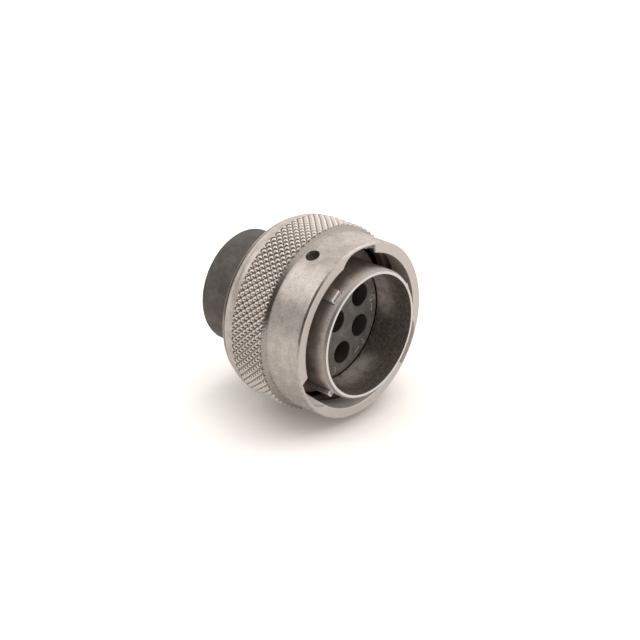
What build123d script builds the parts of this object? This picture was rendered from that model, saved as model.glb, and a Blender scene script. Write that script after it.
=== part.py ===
from build123d import *
import math
import os

# Circular multi-contact cable plug with a bayonet coupling ring and a potting boot.
# Millimetres. +Z is the mating direction and the boot's rear end stands on Z = 0.
# Angles are counter-clockwise seen from the mating end, and the master key is at +Y.

# Insulating insert and the pattern of its contact cavities
CAVITY_R = 2.00
CAVITY_CIRCLE_R = 6.50
CAVITY_COUNT = 7
WAFER_MARGIN = 1.80
WAFER_THICKNESS = 2.98
WAFER_CHAMFER = 0.12
WAFER_LEDGE = 0.72
GROMMET_STEP = 5.40
NECK_WALL = 0.21
NECK_LENGTH = 4.50
INSERT_RECESS = 7.50
INSERT_GAP = 0.19

# Socket contacts, their hoods and solder cups
PIN_BORE_R = 0.80
PIN_BORE_DEPTH = 6.00
TINE_R = 1.05
TINE_SLOT = 0.30
TINE_SLOT_DEPTH = 3.20
CONTACT_R = 1.30
CONTACT_SHOULDER_R = 1.48
CONTACT_SHOULDER_LENGTH = 1.40
HOOD_LENGTH = 3.90
HOOD_LIP = 0.40
HOOD_ENTRY_R = 0.92
CUP_BORE_R = 0.92
CUP_REACH = 3.40
CUP_WINDOW = 2.00
CUP_CHEEK = 0.15

# Mating barrel of the shell
BARREL_WALL = 0.71
BARREL_LENGTH = 9.58
CEMENT_GROOVE_DEPTH = 0.25
CEMENT_GROOVE_WIDTH = 0.60
RIM_STAND = 2.08
RIM_CHAMFER = 0.30
RIM_CHAMFER_LENGTH = 0.48

# Keys on the outside of the barrel
KEY_HEIGHT = 0.80
KEY_SET_BACK = 1.08
KEY_CHAMFER = 0.18
MASTER_KEY_WIDTH = 2.15
MINOR_KEY_WIDTH = 1.10
MASTER_KEY_ANGLE = 90.0
MINOR_KEY_OFFSETS = (95.0, -105.0, -140.0, -215.0)

# Shell behind the barrel
JOURNAL_STEP = 0.80
FLANGE_HEIGHT = 1.30
FLANGE_THICKNESS = 2.00
FLANGE_CHAMFER = 0.25
SNAP_GROOVE_DEPTH = 0.70
SNAP_GROOVE_WIDTH = 0.80
SHELL_LAND = 0.60
SPIGOT_WALL = 0.55
SPIGOT_LENGTH = 3.00
SPIGOT_LEAD = 0.30
BEAD_HEIGHT = 0.30
BEAD_WIDTH = 1.40

# Coupling ring
LIP_CLEARANCE = 0.20
LIP_LENGTH = 6.50
LIP_CHAMFER = 0.08
RELIEF_DEPTH = 0.70
RING_CHAMFER = 0.28
RIB_LENGTH = 2.14
SKIRT_LENGTH = 3.50
SKIRT_CLEARANCE = 0.20
BAND_LENGTH = 7.12
STEP_LENGTH = 0.57
CORE_DEPTH = 0.40
SHOULDER_LENGTH = 3.27
SHOULDER_DROP = 0.20
TAIL_DROP = 1.05
TAIL_LENGTH = 0.55
TAIL_GROOVE = 0.20
TAIL_CHAMFER = 0.18

# Diamond knurl: raised pyramids between two families of crossing grooves
KNURL_STAND = 0.94
KNURL_DEPTH = 0.43
KNURL_COUNT = 76

# Bayonet tracks inside the lip
TRACK_COUNT = 3
TRACK_DEPTH = 1.40
TRACK_WALL = 0.50
TRACK_WIDTH = 1.45
TRACK_FLARE = 0.40
TRACK_ENTRY_DEPTH = 2.05
TRACK_DROP = 3.95
TRACK_TURN = 84.0
TRACK_EASE = 1.7
TRACK_FLARE_EASE = 6
TRACK_SECTION_PITCH = 8.4
NOTCH_TURN = 19.6
NOTCH_LEAN = 3.0
RAMP_TURN = 13.0
RAMP_DEPTH = 3.00
WINDOW_R = 1.20
WINDOW_ANGLE = 74.8

# Retention of the coupling ring
RETAINER_WIDTH = 1.40
RETAINER_THICKNESS = 0.60
SNAP_RING_STAND = 0.90
SNAP_RING_GAP = 24.0
THRUST_THICKNESS = 0.60
THRUST_CLEARANCE = 0.30
SPRING_SPACE = 1.60
SPRING_THICKNESS = 0.30
SPRING_WAVES = 3
SPRING_EDGE_GAP = 0.30
SPRING_GAP = 8.0
SPRING_SECTION_PITCH = 10.35

# Potting boot
BOOT_LENGTH = 11.40
BOOT_WALL = 0.92
BOOT_EDGE = 0.45
WELL_RELIEF = 0.25
WELL_DEPTH = 5.50

# Clearances, and how far a cut runs past the wall it opens
RUNNING_FIT = 0.05
SEAT_FIT = 0.02
PLAY = 0.03
CUT_OVERRUN = 0.50

# Places along the axis, from the boot's rear end forwards
shoulder_z = BOOT_LENGTH
spigot_end_z = shoulder_z - SPIGOT_LENGTH
snap_groove_z = shoulder_z + SHELL_LAND
retainer_z = snap_groove_z + SNAP_GROOVE_WIDTH
rib_z = retainer_z + RETAINER_THICKNESS + PLAY
rib_front_z = rib_z + RIB_LENGTH
thrust_z = rib_front_z + PLAY
spring_z = thrust_z + THRUST_THICKNESS
flange_z = spring_z + SPRING_SPACE
flange_front_z = flange_z + FLANGE_THICKNESS
rim_z = flange_front_z + BARREL_LENGTH
key_front_z = rim_z - KEY_SET_BACK
ring_front_z = rim_z - RIM_STAND
ring_rear_z = rib_z - SKIRT_LENGTH
lip_rear_z = ring_front_z - LIP_LENGTH
band_rear_z = ring_front_z - BAND_LENGTH
knurl_rear_z = ring_rear_z + SHOULDER_LENGTH
insert_face_z = rim_z - INSERT_RECESS
wafer_rear_z = insert_face_z - WAFER_THICKNESS
grommet_step_z = wafer_rear_z - GROMMET_STEP
neck_end_z = grommet_step_z - NECK_LENGTH
hood_rear_z = wafer_rear_z - HOOD_LENGTH
tine_front_z = wafer_rear_z - HOOD_LIP - PLAY
contact_shoulder_z = hood_rear_z - CONTACT_SHOULDER_LENGTH
cup_end_z = neck_end_z - CUP_REACH

# Radii from the contact pattern outwards, each set by the piece inside it
insert_r = CAVITY_CIRCLE_R + CAVITY_R + WAFER_MARGIN
grommet_r = insert_r - WAFER_LEDGE
neck_r = CAVITY_CIRCLE_R + CONTACT_R + SEAT_FIT + NECK_WALL
spigot_r = neck_r + SEAT_FIT + SPIGOT_WALL
bead_r = spigot_r + BEAD_HEIGHT
well_r = bead_r + WELL_RELIEF
boot_r = well_r + BOOT_WALL
mating_bore_r = insert_r + INSERT_GAP
barrel_r = mating_bore_r + BARREL_WALL
journal_r = barrel_r + JOURNAL_STEP
snap_groove_r = journal_r - SNAP_GROOVE_DEPTH
flange_r = journal_r + FLANGE_HEIGHT
lip_bore_r = flange_r + LIP_CLEARANCE
relief_r = lip_bore_r + RELIEF_DEPTH
track_r = lip_bore_r + TRACK_DEPTH
ring_r = track_r + TRACK_WALL
knurl_r = ring_r + KNURL_STAND
knurl_root_r = knurl_r - KNURL_DEPTH
knurl_core_r = min(knurl_root_r, ring_r) - CORE_DEPTH
shoulder_r = knurl_r - SHOULDER_DROP
tail_r = shoulder_r - TAIL_DROP
retainer_r = journal_r + RETAINER_WIDTH
skirt_bore_r = retainer_r + SKIRT_CLEARANCE
snap_ring_r = journal_r + SNAP_RING_STAND
thrust_r = relief_r - THRUST_CLEARANCE

# The knurl's rows are half a diamond high, as near to 45 degrees as whole rows allow
knurl_zone = band_rear_z - knurl_rear_z
knurl_rows = round(knurl_zone / (math.pi * knurl_r / KNURL_COUNT))
knurl_row_height = knurl_zone / knurl_rows

# Angles of the three bayonet tracks: each ends at the window of its neighbour
track_pitch = 360 / TRACK_COUNT
window_angles = [WINDOW_ANGLE + track_pitch * k for k in range(TRACK_COUNT)]
track_start_angles = [angle + TRACK_TURN for angle in window_angles]
track_steps = round(TRACK_TURN / TRACK_SECTION_PITCH)
spring_steps = round((360 - SPRING_GAP) / SPRING_SECTION_PITCH)

contact_angles = [MASTER_KEY_ANGLE + 360 / CAVITY_COUNT * k for k in range(CAVITY_COUNT)]
contact_spots = [(0.0, MASTER_KEY_ANGLE)] + [(CAVITY_CIRCLE_R, angle) for angle in contact_angles]


def polar(radius, angle, z=0.0):
    """Point at a radius and an angle in degrees about the axis."""
    turn = math.radians(angle)
    return Vector(radius * math.cos(turn), radius * math.sin(turn), z)


def radial_plane(angle, origin=(0, 0, 0)):
    """Plane through the axis at an angle: its x runs outwards and its y runs along +Z."""
    return Plane(origin=origin, x_dir=polar(1, angle), z_dir=polar(1, angle - 90))


def section(points):
    """Closed outline of (radius, z) points, in a sketch on a plane through the axis."""
    Polygon(*points, align=None)


def washer_section(inner_r, outer_r, low_z, high_z):
    """Rectangular section of a ring, in a sketch on a plane through the axis."""
    section([(inner_r, low_z), (outer_r, low_z), (outer_r, high_z), (inner_r, high_z)])


def save(part, name):
    """Label a finished piece and write it to its own file."""
    part.label = name
    export_step(part, f"parts/{name}.step")


os.makedirs("parts", exist_ok=True)

# Shell: barrel with its rim, flange, journal for the ring, snap groove and boot spigot
with BuildPart() as shell:
    with BuildSketch(Plane.XZ):
        section([
            (neck_r + SEAT_FIT, spigot_end_z),
            (bead_r - SPIGOT_LEAD, spigot_end_z),
            (bead_r, spigot_end_z + SPIGOT_LEAD),
            (bead_r, spigot_end_z + BEAD_WIDTH),
            (spigot_r, spigot_end_z + BEAD_WIDTH),
            (spigot_r, shoulder_z),
            (journal_r, shoulder_z),
            (journal_r, snap_groove_z),
            (snap_groove_r, snap_groove_z),
            (snap_groove_r, retainer_z),
            (journal_r, retainer_z),
            (journal_r, flange_z),
            (flange_r, flange_z),
            (flange_r, flange_front_z - FLANGE_CHAMFER),
            (flange_r - FLANGE_CHAMFER, flange_front_z),
            (barrel_r, flange_front_z),
            (barrel_r, rim_z - RIM_CHAMFER_LENGTH),
            (barrel_r - RIM_CHAMFER, rim_z),
            (mating_bore_r, rim_z),
            (mating_bore_r, insert_face_z),
            (mating_bore_r + CEMENT_GROOVE_DEPTH, insert_face_z),
            (mating_bore_r + CEMENT_GROOVE_DEPTH, insert_face_z - CEMENT_GROOVE_WIDTH),
            (insert_r + SEAT_FIT, insert_face_z - CEMENT_GROOVE_WIDTH),
            (insert_r + SEAT_FIT, wafer_rear_z),
            (grommet_r + SEAT_FIT, wafer_rear_z),
            (grommet_r + SEAT_FIT, grommet_step_z),
            (neck_r + SEAT_FIT, grommet_step_z),
        ])
    revolve(axis=Axis.Z)
    # Keys run from the flange to just short of the rim, the wide master key at the top
    key_root_r = mating_bore_r + BARREL_WALL / 2
    key_top_r = barrel_r + KEY_HEIGHT
    keys = [(MASTER_KEY_ANGLE, MASTER_KEY_WIDTH)]
    keys += [(MASTER_KEY_ANGLE + offset, MINOR_KEY_WIDTH) for offset in MINOR_KEY_OFFSETS]
    for key_angle, key_width in keys:
        with BuildSketch(Plane.XY.offset(flange_front_z)):
            with PolarLocations((key_root_r + key_top_r) / 2, 1, start_angle=key_angle):
                Rectangle(key_top_r - key_root_r, key_width)
        extrude(amount=key_front_z - flange_front_z)
    key_front_edges = [
        edge for edge in shell.edges().filter_by(GeomType.LINE)
        if abs(edge.center().Z - key_front_z) < SEAT_FIT
    ]
    chamfer(key_front_edges, KEY_CHAMFER)
save(shell.part, "shell")


def knurl_node(column, row):
    """Lattice point of the knurl: a pyramid's tip, or a crossing of two grooves."""
    is_tip = (column + row) % 2 == 1
    radius = knurl_r if is_tip else knurl_root_r
    return polar(radius, column * 180 / KNURL_COUNT, knurl_rear_z + row * knurl_row_height)


def knurl_faces():
    """Four facets for each pyramid, and the flat ends of the knurled drum."""
    facets = []
    columns = 2 * KNURL_COUNT
    for row in range(knurl_rows + 1):
        for column in range(columns):
            if (column + row) % 2 == 0:
                continue
            corners = [(column + 1, row), (column, row + 1), (column - 1, row), (column, row - 1)]
            for start, end in zip(corners, corners[1:] + corners[:1]):
                if min(start[1], end[1]) >= 0 and max(start[1], end[1]) <= knurl_rows:
                    facets.append([knurl_node(column, row), knurl_node(*start), knurl_node(*end)])
    facets.append([knurl_node(column, knurl_rows) for column in range(columns)])
    facets.append([knurl_node(column, 0) for column in reversed(range(columns))])
    return [Face(Wire.make_polygon(facet)) for facet in facets]


knurled_drum = Solid(Shell(knurl_faces()))

# Knurled sleeve: the grooves run out through a step at the front and a bevel at the rear
trim_r = knurl_r + KNURL_DEPTH
step_slope = STEP_LENGTH / (knurl_r - ring_r)
with BuildPart() as knurled_sleeve:
    add(knurled_drum)
    with BuildSketch(Plane.XZ):
        section([
            (knurl_core_r, knurl_rear_z),
            (shoulder_r, knurl_rear_z),
            (trim_r, knurl_rear_z + trim_r - shoulder_r),
            (trim_r, band_rear_z - step_slope * (trim_r - ring_r)),
            (ring_r, band_rear_z),
            (knurl_core_r, band_rear_z),
        ])
    revolve(axis=Axis.Z, mode=Mode.INTERSECT)

# Coupling ring: smooth band, lip with the three bayonet tracks, running rib and the sleeve
with BuildPart() as coupling_ring:
    # Outside of the ring, with a crowned shoulder and a narrow lip behind the knurl
    tail_z = ring_rear_z + TAIL_LENGTH
    with BuildSketch(Plane.XZ):
        with BuildLine():
            Polyline(
                (knurl_core_r, knurl_rear_z),
                (knurl_core_r, band_rear_z),
                (ring_r, band_rear_z),
                (ring_r, ring_front_z - RING_CHAMFER),
                (ring_r - RING_CHAMFER, ring_front_z),
                (0, ring_front_z),
                (0, ring_rear_z),
                (tail_r - TAIL_CHAMFER, ring_rear_z),
                (tail_r, ring_rear_z + TAIL_CHAMFER),
                (tail_r - TAIL_GROOVE, tail_z - TAIL_GROOVE),
                (tail_r, tail_z),
            )
            TangentArc((shoulder_r, knurl_rear_z), (tail_r, tail_z), tangent=(0, -1))
            Line((shoulder_r, knurl_rear_z), (knurl_core_r, knurl_rear_z))
        make_face()
    revolve(axis=Axis.Z)
    # Inside: skirt round the retaining washer, rib that runs on the journal, relief and lip
    with BuildSketch(Plane.XZ):
        section([
            (0, ring_rear_z),
            (skirt_bore_r, ring_rear_z),
            (skirt_bore_r, rib_z),
            (journal_r + RUNNING_FIT, rib_z),
            (journal_r + RUNNING_FIT, rib_front_z),
            (relief_r, rib_front_z),
            (relief_r, lip_rear_z),
            (lip_bore_r, lip_rear_z),
            (lip_bore_r, ring_front_z - LIP_CHAMFER),
            (lip_bore_r + LIP_CHAMFER, ring_front_z),
            (0, ring_front_z),
        ])
    revolve(axis=Axis.Z, mode=Mode.SUBTRACT)
    cut_inner_r = lip_bore_r - CUT_OVERRUN
    cut_top_z = ring_front_z + CUT_OVERRUN
    for start_angle in track_start_angles:
        # Entry notch through the lip, with one leaning side
        notch_end = start_angle + NOTCH_TURN
        with BuildSketch(Plane.XY.offset(lip_rear_z)):
            with BuildLine():
                Line(polar(cut_inner_r, start_angle - NOTCH_LEAN), polar(track_r, start_angle))
                ThreePointArc(
                    polar(track_r, start_angle),
                    polar(track_r, (start_angle + notch_end) / 2),
                    polar(track_r, notch_end),
                )
                Line(polar(track_r, notch_end), polar(cut_inner_r, notch_end))
                ThreePointArc(
                    polar(cut_inner_r, notch_end),
                    polar(cut_inner_r, (start_angle + notch_end) / 2),
                    polar(cut_inner_r, start_angle - NOTCH_LEAN),
                )
            make_face()
        extrude(amount=cut_top_z - lip_rear_z, mode=Mode.SUBTRACT)
        # Lead-in ramp that fades out along the lip
        for share in (0.0, 0.5, 1.0):
            ramp_r = track_r - (track_r - lip_bore_r) * share ** 2
            ramp_z = ring_front_z - RAMP_DEPTH * (1 - share)
            with BuildSketch(radial_plane(notch_end + RAMP_TURN * share)):
                washer_section(cut_inner_r, ramp_r, ramp_z, cut_top_z)
        loft(mode=Mode.SUBTRACT)
        # Track that winds from the notch down to the window, steep first and then easing
        for step in range(track_steps + 1):
            share = step / track_steps
            drop = TRACK_DROP * (1 - (1 - share) ** TRACK_EASE)
            low_z = ring_front_z - TRACK_ENTRY_DEPTH - drop
            high_z = low_z + TRACK_WIDTH + TRACK_FLARE * (1 - share) ** TRACK_FLARE_EASE
            with BuildSketch(radial_plane(start_angle - TRACK_TURN * share)):
                washer_section(cut_inner_r, track_r, low_z, high_z)
        loft(mode=Mode.SUBTRACT)
    # Round windows where the mating pins drop in and can be seen
    window_z = ring_front_z - TRACK_ENTRY_DEPTH - TRACK_DROP + TRACK_WIDTH / 2
    for window_angle in window_angles:
        window_spot = polar(cut_inner_r, window_angle, window_z)
        with BuildSketch(Plane(origin=window_spot, z_dir=polar(1, window_angle))):
            Circle(WINDOW_R)
        extrude(amount=ring_r, mode=Mode.SUBTRACT)
    add(knurled_sleeve.part)
save(coupling_ring.part, "coupling_ring")

# Washers and springs that hold the ring on the journal and press it back
with BuildPart() as thrust_washer:
    with BuildSketch(Plane.XZ):
        washer_section(journal_r + 2 * RUNNING_FIT, thrust_r, thrust_z, thrust_z + THRUST_THICKNESS)
    revolve(axis=Axis.Z)
save(thrust_washer.part, "thrust_washer")

with BuildPart() as retaining_washer:
    with BuildSketch(Plane.XZ):
        washer_section(journal_r + RUNNING_FIT, retainer_r, retainer_z, retainer_z + RETAINER_THICKNESS)
    revolve(axis=Axis.Z)
save(retaining_washer.part, "retaining_washer")

with BuildPart() as snap_ring:
    with BuildSketch(radial_plane(SNAP_RING_GAP / 2 - 90)):
        washer_section(snap_groove_r + SEAT_FIT, snap_ring_r, snap_groove_z + PLAY, retainer_z)
    revolve(axis=Axis.Z, revolution_arc=SNAP_RING_GAP - 360)
save(snap_ring.part, "snap_ring")

wave_mid_z = (spring_z + flange_z) / 2
wave_height = (SPRING_SPACE - SPRING_THICKNESS) / 2 - PLAY
with BuildPart() as wave_spring:
    for step in range(spring_steps + 1):
        angle = SPRING_GAP / 2 + (360 - SPRING_GAP) * step / spring_steps
        wave_z = wave_mid_z - wave_height * math.cos(math.radians(angle * SPRING_WAVES))
        with BuildSketch(radial_plane(angle)):
            washer_section(
                journal_r + SPRING_EDGE_GAP, flange_r - SPRING_EDGE_GAP,
                wave_z - SPRING_THICKNESS / 2, wave_z + SPRING_THICKNESS / 2,
            )
    loft()
save(wave_spring.part, "wave_spring")

# Hard front wafer of the insert, with a wide entry for each contact
with BuildPart() as insert_front:
    with BuildSketch(Plane.XY.offset(wafer_rear_z)):
        Circle(insert_r)
    extrude(amount=WAFER_THICKNESS)
    chamfer(insert_front.faces().sort_by(Axis.Z)[-1].edges(), WAFER_CHAMFER)
    with BuildSketch(Plane.XY.offset(wafer_rear_z)):
        with Locations(*[polar(*spot) for spot in contact_spots]):
            Circle(CAVITY_R)
    extrude(amount=WAFER_THICKNESS, mode=Mode.SUBTRACT)
save(insert_front.part, "insert_front")

# Resilient rear part of the insert, bored in steps for the contacts
with BuildPart() as insert_rear:
    with BuildSketch(Plane.XZ):
        section([
            (0, neck_end_z),
            (neck_r, neck_end_z),
            (neck_r, grommet_step_z),
            (grommet_r, grommet_step_z),
            (grommet_r, wafer_rear_z),
            (0, wafer_rear_z),
        ])
    revolve(axis=Axis.Z)
    bores = [
        (CONTACT_R, neck_end_z, contact_shoulder_z),
        (CONTACT_SHOULDER_R, contact_shoulder_z, hood_rear_z),
        (CONTACT_R, hood_rear_z, wafer_rear_z),
    ]
    for bore_r, low_z, high_z in bores:
        with BuildSketch(Plane.XY.offset(low_z)):
            with Locations(*[polar(*spot) for spot in contact_spots]):
                Circle(bore_r + SEAT_FIT)
        extrude(amount=high_z - low_z, mode=Mode.SUBTRACT)
save(insert_rear.part, "insert_rear")

# Socket contacts with slotted tines and solder cups, each under a closed hood
for number, (spot_r, spot_angle) in enumerate(contact_spots, start=1):
    spot = polar(spot_r, spot_angle)
    contact_axis = Axis(spot, (0, 0, 1))
    with BuildPart() as contact:
        with BuildSketch(radial_plane(spot_angle, spot)):
            section([
                (CUP_BORE_R, cup_end_z),
                (CONTACT_R, cup_end_z),
                (CONTACT_R, contact_shoulder_z),
                (CONTACT_SHOULDER_R, contact_shoulder_z),
                (CONTACT_SHOULDER_R, hood_rear_z),
                (TINE_R, hood_rear_z),
                (TINE_R, tine_front_z),
                (PIN_BORE_R, tine_front_z),
                (PIN_BORE_R, tine_front_z - PIN_BORE_DEPTH),
                (0, tine_front_z - PIN_BORE_DEPTH),
                (0, neck_end_z),
                (CUP_BORE_R, neck_end_z),
            ])
        revolve(axis=contact_axis)
        with BuildSketch(Plane(spot, x_dir=polar(1, spot_angle)).offset(tine_front_z)):
            Rectangle(TINE_SLOT, 2 * CONTACT_R)
        extrude(amount=-TINE_SLOT_DEPTH, mode=Mode.SUBTRACT)
        with BuildSketch(Plane(spot, x_dir=polar(1, spot_angle)).offset(cup_end_z)):
            with Locations((CUP_CHEEK, 0)):
                Rectangle(CONTACT_R, 2 * CONTACT_R, align=(Align.MIN, Align.CENTER))
        extrude(amount=CUP_WINDOW, mode=Mode.SUBTRACT)
    save(contact.part, f"socket_contact_{number}")

    with BuildPart() as hood:
        with BuildSketch(radial_plane(spot_angle, spot)):
            section([
                (TINE_R + SEAT_FIT, hood_rear_z),
                (CONTACT_R, hood_rear_z),
                (CONTACT_R, wafer_rear_z),
                (HOOD_ENTRY_R, wafer_rear_z),
                (HOOD_ENTRY_R, wafer_rear_z - HOOD_LIP),
                (TINE_R + SEAT_FIT, wafer_rear_z - HOOD_LIP),
            ])
        revolve(axis=contact_axis)
    save(hood.part, f"contact_hood_{number}")

# Potting boot, snapped over the bead of the spigot and open at the rear
with BuildPart() as potting_boot:
    with BuildSketch(Plane.XZ):
        section([
            (well_r, 0),
            (boot_r, 0),
            (boot_r, BOOT_LENGTH),
            (spigot_r + SEAT_FIT, BOOT_LENGTH),
            (spigot_r + SEAT_FIT, spigot_end_z + BEAD_WIDTH + SEAT_FIT),
            (bead_r + SEAT_FIT, spigot_end_z + BEAD_WIDTH + SEAT_FIT),
            (bead_r + SEAT_FIT, WELL_DEPTH),
            (well_r, WELL_DEPTH),
        ])
    revolve(axis=Axis.Z)
    rear_edges = potting_boot.edges().filter_by(GeomType.CIRCLE).group_by(Axis.Z)[0]
    fillet(rear_edges.sort_by(SortBy.RADIUS)[-1], BOOT_EDGE)
save(potting_boot.part, "potting_boot")
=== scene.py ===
"""Finishes, knurl, insert marks, spring, studio and camera of a cable plug with a bayonet ring."""

import logging
import math
from dataclasses import dataclass, field
from enum import Enum
from typing import Any, Optional, Union

import bpy
from mathutils import Matrix, Vector


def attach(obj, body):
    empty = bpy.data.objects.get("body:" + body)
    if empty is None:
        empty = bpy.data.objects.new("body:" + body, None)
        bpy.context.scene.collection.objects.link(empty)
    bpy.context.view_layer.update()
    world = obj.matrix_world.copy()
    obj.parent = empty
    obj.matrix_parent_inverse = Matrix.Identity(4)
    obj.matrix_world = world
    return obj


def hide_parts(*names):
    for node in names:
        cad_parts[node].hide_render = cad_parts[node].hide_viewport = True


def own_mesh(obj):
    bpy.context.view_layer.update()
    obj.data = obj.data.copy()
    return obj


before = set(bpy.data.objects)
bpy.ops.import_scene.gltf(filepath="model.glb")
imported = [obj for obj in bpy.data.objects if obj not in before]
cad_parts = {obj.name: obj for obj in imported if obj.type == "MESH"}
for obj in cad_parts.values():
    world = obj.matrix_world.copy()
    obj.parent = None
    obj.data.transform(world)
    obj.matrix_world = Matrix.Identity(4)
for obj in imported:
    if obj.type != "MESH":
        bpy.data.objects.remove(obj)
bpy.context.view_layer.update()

MM = 0.001
Colour = tuple[float, float, float]
SKIN = 0.03              # depth of a face's own finish, in millimetres
MERGE = 2e-6             # points this near are one, in metres
NOISE_MEAN = 0.5
EDGE_COSINE = 0.75       # between the true and the rounded normal, on an edge
BEVEL_SAMPLES = 6
SKY_SAMPLES = 8

log = logging.getLogger("cable_plug")


class Link:
    """An output socket of a node tree, with arithmetic that adds Math nodes."""

    def __init__(self, tree: "Tree", socket: bpy.types.NodeSocket) -> None:
        """Keeps a socket with its tree.

        Args:
            tree: The tree that gets the Math nodes.
            socket: The output socket.
        """
        self.tree = tree
        self.socket = socket

    def math(self, operation: str, *others: "Value") -> "Link":
        """Adds a Math node that starts from this socket.

        Args:
            operation: The Math node's operation.
            others: The further operands.

        Returns:
            The result's socket.
        """
        return self.tree.math(operation, self, *others)

    def __add__(self, other: "Value") -> "Link":
        """This plus other."""
        return self.math("ADD", other)

    def __radd__(self, other: "Value") -> "Link":
        """Other plus this."""
        return self.math("ADD", other)

    def __sub__(self, other: "Value") -> "Link":
        """This less other."""
        return self.math("SUBTRACT", other)

    def __rsub__(self, other: float) -> "Link":
        """Other less this."""
        return self.tree.math("SUBTRACT", other, self)

    def __mul__(self, other: "Value") -> "Link":
        """This times other."""
        return self.math("MULTIPLY", other)

    def __rmul__(self, other: "Value") -> "Link":
        """Other times this."""
        return self.math("MULTIPLY", other)

    def __truediv__(self, other: "Value") -> "Link":
        """This divided by other."""
        return self.math("DIVIDE", other)

    def __rtruediv__(self, other: float) -> "Link":
        """Other divided by this."""
        return self.tree.math("DIVIDE", other, self)

    def __mod__(self, other: "Value") -> "Link":
        """What is left of this when other is taken away as often as it fits."""
        return self.math("FLOORED_MODULO", other)

    def __pow__(self, other: "Value") -> "Link":
        """This to the power of other."""
        return self.math("POWER", other)

    def ease(self, low: float, high: float) -> "Link":
        """Rises smoothly from 0 to 1 while this goes from low to high.

        Args:
            low: Where the rise starts.
            high: Where it ends.

        Returns:
            The eased share.
        """
        settings = {"interpolation_type": "SMOOTHSTEP"}
        return self.tree.node("ShaderNodeMapRange", settings, {0: self, 1: low, 2: high})[0]


Value = Union[Link, float]


class Step:
    """A placed node, whose outputs are read by name or number."""

    def __init__(self, tree: "Tree", placed: bpy.types.Node) -> None:
        """Keeps a node with its tree.

        Args:
            tree: The tree that the node is in.
            placed: The placed node.
        """
        self.tree = tree
        self.placed = placed

    def __getitem__(self, output: Union[str, int]) -> Link:
        """The output socket of that name or number."""
        return Link(self.tree, self.placed.outputs[output])


class Tree:
    """A node tree, of a material, the world or Geometry Nodes, that is written as expressions."""

    def __init__(self, nodes: bpy.types.NodeTree) -> None:
        """Takes an empty tree.

        Args:
            nodes: The tree to fill.
        """
        self.nodes = nodes

    def node(
        self,
        kind: str,
        settings: Optional[dict[str, Any]] = None,
        inputs: Optional[dict[Union[str, int], Any]] = None,
    ) -> Step:
        """Places a node.

        Args:
            kind: The node's type.
            settings: Its settings, set first.
            inputs: Links or values of its input sockets, by name or number; a list has several links.

        Returns:
            The placed node.
        """
        made = self.nodes.nodes.new(kind)
        for name, value in (settings or {}).items():
            setattr(made, name, value)
        for name, value in (inputs or {}).items():
            links = value if isinstance(value, list) else [value]
            for link in links:
                if isinstance(link, Link):
                    self.nodes.links.new(link.socket, made.inputs[name])
                else:
                    made.inputs[name].default_value = link
        return Step(self, made)

    def math(self, operation: str, *operands: Value) -> Link:
        """Adds a Math node.

        Args:
            operation: Its operation.
            operands: Its operands, in order.

        Returns:
            The result's socket.
        """
        return self.node("ShaderNodeMath", {"operation": operation}, dict(enumerate(operands)))[0]

    def xyz(self, x: Value, y: Value, z: Value) -> Link:
        """A vector from three numbers or links."""
        return self.node("ShaderNodeCombineXYZ", inputs={0: x, 1: y, 2: z})[0]

    def noise(self, vector: Link, scale: float, detail: float = 3.0, roughness: float = 0.5) -> Link:
        """Noise between 0 and 1.

        Args:
            vector: Where it is read.
            scale: Waves for each unit of the vector.
            detail: Octaves of finer noise.
            roughness: Strength of the finer octaves.

        Returns:
            The noise value.
        """
        values = {"Vector": vector, "Scale": scale, "Detail": detail, "Roughness": roughness}
        return self.node("ShaderNodeTexNoise", inputs=values)[0]

    def blend(self, share: Value, first: Union[Link, Colour], second: Union[Link, Colour]) -> Link:
        """Mixes two colours.

        Args:
            share: Share of the second colour.
            first: The colour at share 0.
            second: The colour at share 1.

        Returns:
            The mixed colour.
        """
        pair = [end if isinstance(end, Link) else (*end, 1.0) for end in (first, second)]
        return self.node("ShaderNodeMix", {"data_type": "RGBA"}, {0: share, 6: pair[0], 7: pair[1]})[2]


class PartCoordinates:
    """Object coordinates in millimetres, with the radius and angle about the plug's axis."""

    def __init__(self, tree: Tree) -> None:
        """Adds the nodes that read the coordinates.

        Args:
            tree: A material's tree.
        """
        place = tree.node("ShaderNodeTexCoord")["Object"]
        scaled = tree.node("ShaderNodeVectorMath", {"operation": "SCALE"}, {0: place, "Scale": 1 / MM})
        self.point = scaled[0]
        split = tree.node("ShaderNodeSeparateXYZ", inputs={0: self.point})
        self.x, self.y, self.z = split[0], split[1], split[2]
        self.radius = (self.x * self.x + self.y * self.y).math("SQRT")
        self.angle = self.y.math("ARCTAN2", self.x)

    def above(self, height: float, blend: float) -> Link:
        """The share that rises from 0 at a height to 1 when it is passed by blend."""
        return self.z.ease(height, height + blend)

    def beyond(self, radius: float, blend: float) -> Link:
        """The share that rises from 0 at a radius to 1 when it is passed by blend."""
        return self.radius.ease(radius, radius + blend)

    def towards(self, degrees: float) -> Link:
        """The distance from the axis towards an angle."""
        turn = math.radians(degrees)
        return self.x * math.cos(turn) + self.y * math.sin(turn)


def new_material(name: str) -> tuple[bpy.types.Material, Tree]:
    """An empty node material.

    Args:
        name: The material's name.

    Returns:
        The material and its tree.
    """
    material = bpy.data.materials.new(name)
    material.use_nodes = True
    material.node_tree.nodes.clear()
    return material, Tree(material.node_tree)


def soft_edge_normal(tree: Tree, edge_radius: float) -> Link:
    """A normal that rounds the edges of a shape.

    Args:
        tree: A material's tree.
        edge_radius: Radius of the rounding, in millimetres.

    Returns:
        The rounded normal.
    """
    return tree.node("ShaderNodeBevel", {"samples": BEVEL_SAMPLES}, {"Radius": edge_radius * MM})[0]


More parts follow.
